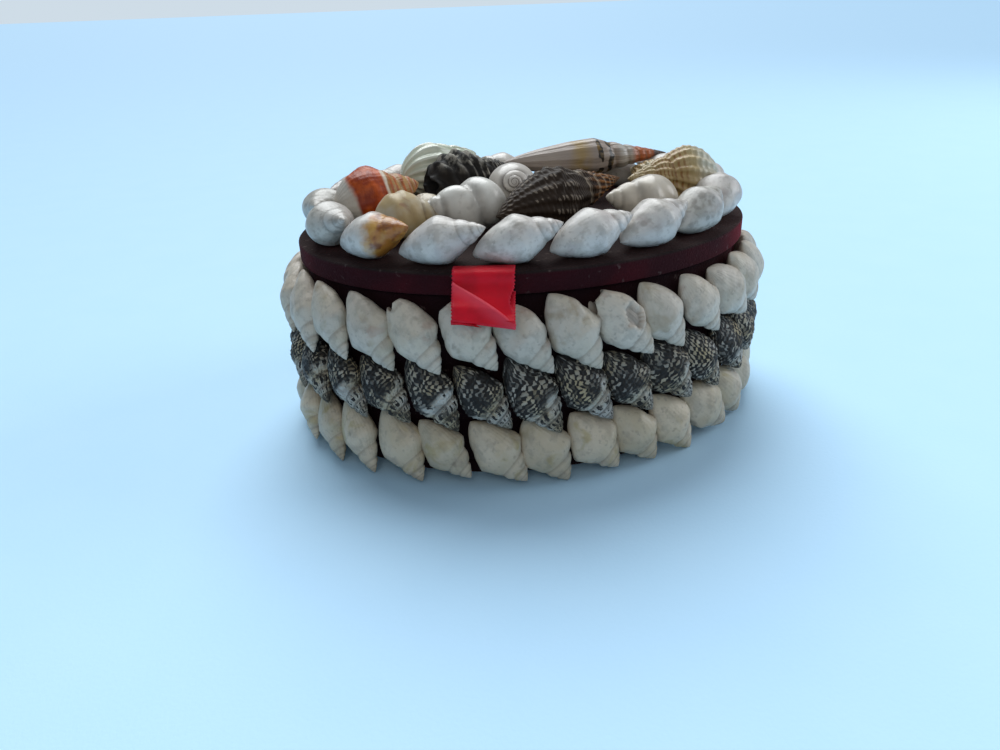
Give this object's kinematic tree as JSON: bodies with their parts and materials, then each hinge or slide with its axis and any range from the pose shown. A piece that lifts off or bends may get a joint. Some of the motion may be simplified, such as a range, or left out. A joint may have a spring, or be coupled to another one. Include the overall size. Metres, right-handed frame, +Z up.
{
  "type": "shell box",
  "caption": "Oval lidded keepsake box of velvet-covered card, its wall and lid covered in small sea shells, with a ribbon tab at the front.",
  "frame": {"origin": "centre of the bottom board's underside", "axes": "+X along the oval's long axis, +Z up, the ribbon tab at the front (-Y)"},
  "size_m": [0.1038, 0.0834, 0.0539],
  "materials": {
    "velvet": "very dark maroon velvet on card, soft pile",
    "ribbon": "bright red satin ribbon with looped edges",
    "white_shell": "white whelk shell, satin, faint tan blotches",
    "speckled_shell": "black and white granular shell with paler dashed whorls",
    "cream_shell": "cream shell, satin, fine growth lines",
    "rim_shell": "smooth white shell, half gloss",
    "rust_shell": "rust-orange shell with darker and paler bands",
    "ochre_shell": "ochre and cream shell, matt",
    "dark_shell": "dark brown ribbed shell with a pale spiral line",
    "striped_shell": "dark brown shell with pale stripes towards the apex",
    "turret_shell": "cream-pink turret with dark spotted bands and a dark tip",
    "tan_shell": "tan and cream shell with fine brown lattice bands",
    "pale_green_shell": "thin pale green-white shell, glossy"
  },
  "bodies": {
    "root": {"bottom_board": "velvet", "box_wall": "velvet", "lid_board": "velvet", "ribbon_tab": "ribbon", "upper_shells_1": "white_shell", "upper_shells_2": "white_shell", "upper_shells_3": "white_shell", "upper_shells_4": "white_shell", "upper_shells_5": "white_shell", "upper_shells_6": "white_shell", "middle_shells_1": "speckled_shell", "middle_shells_2": "speckled_shell", "middle_shells_3": "speckled_shell", "middle_shells_4": "speckled_shell", "middle_shells_5": "speckled_shell", "middle_shells_6": "speckled_shell", "bottom_shells_1": "cream_shell", "bottom_shells_2": "cream_shell", "bottom_shells_3": "cream_shell", "bottom_shells_4": "cream_shell", "bottom_shells_5": "cream_shell", "bottom_shells_6": "cream_shell", "rim_shell_1": "rim_shell", "rim_shell_2": "rim_shell", "rim_shell_3": "rim_shell", "rim_shell_4": "rim_shell", "rim_shell_5": "rim_shell", "rim_shell_6": "rim_shell", "rim_shell_7": "rim_shell", "rim_shell_8": "rim_shell", "rim_shell_9": "rim_shell", "rim_shell_10": "rim_shell", "rim_shell_11": "rim_shell", "rim_shell_12": "rim_shell", "rim_shell_13": "rim_shell", "rim_shell_14": "rim_shell", "rim_shell_15": "rim_shell", "rim_shell_16": "rim_shell", "rim_shell_17": "rim_shell", "dark_striped_spindle": "striped_shell", "banded_turret": "turret_shell", "tan_ribbed_shell": "tan_shell", "dark_ribbed_shell": "dark_shell", "rust_shell": "rust_shell", "white_two_whorl_shell": "rim_shell", "white_snail": "white_shell", "pale_green_shell": "pale_green_shell", "ochre_shell": "ochre_shell", "small_cream_shell": "cream_shell", "rust_banded_shell": "rust_shell", "cream_ribbed_shell": "tan_shell", "small_white_shell": "white_shell", "back_white_shell": "white_shell", "back_cream_shell": "cream_shell", "middle_cream_shell": "cream_shell"}
  },
  "joints": []
}
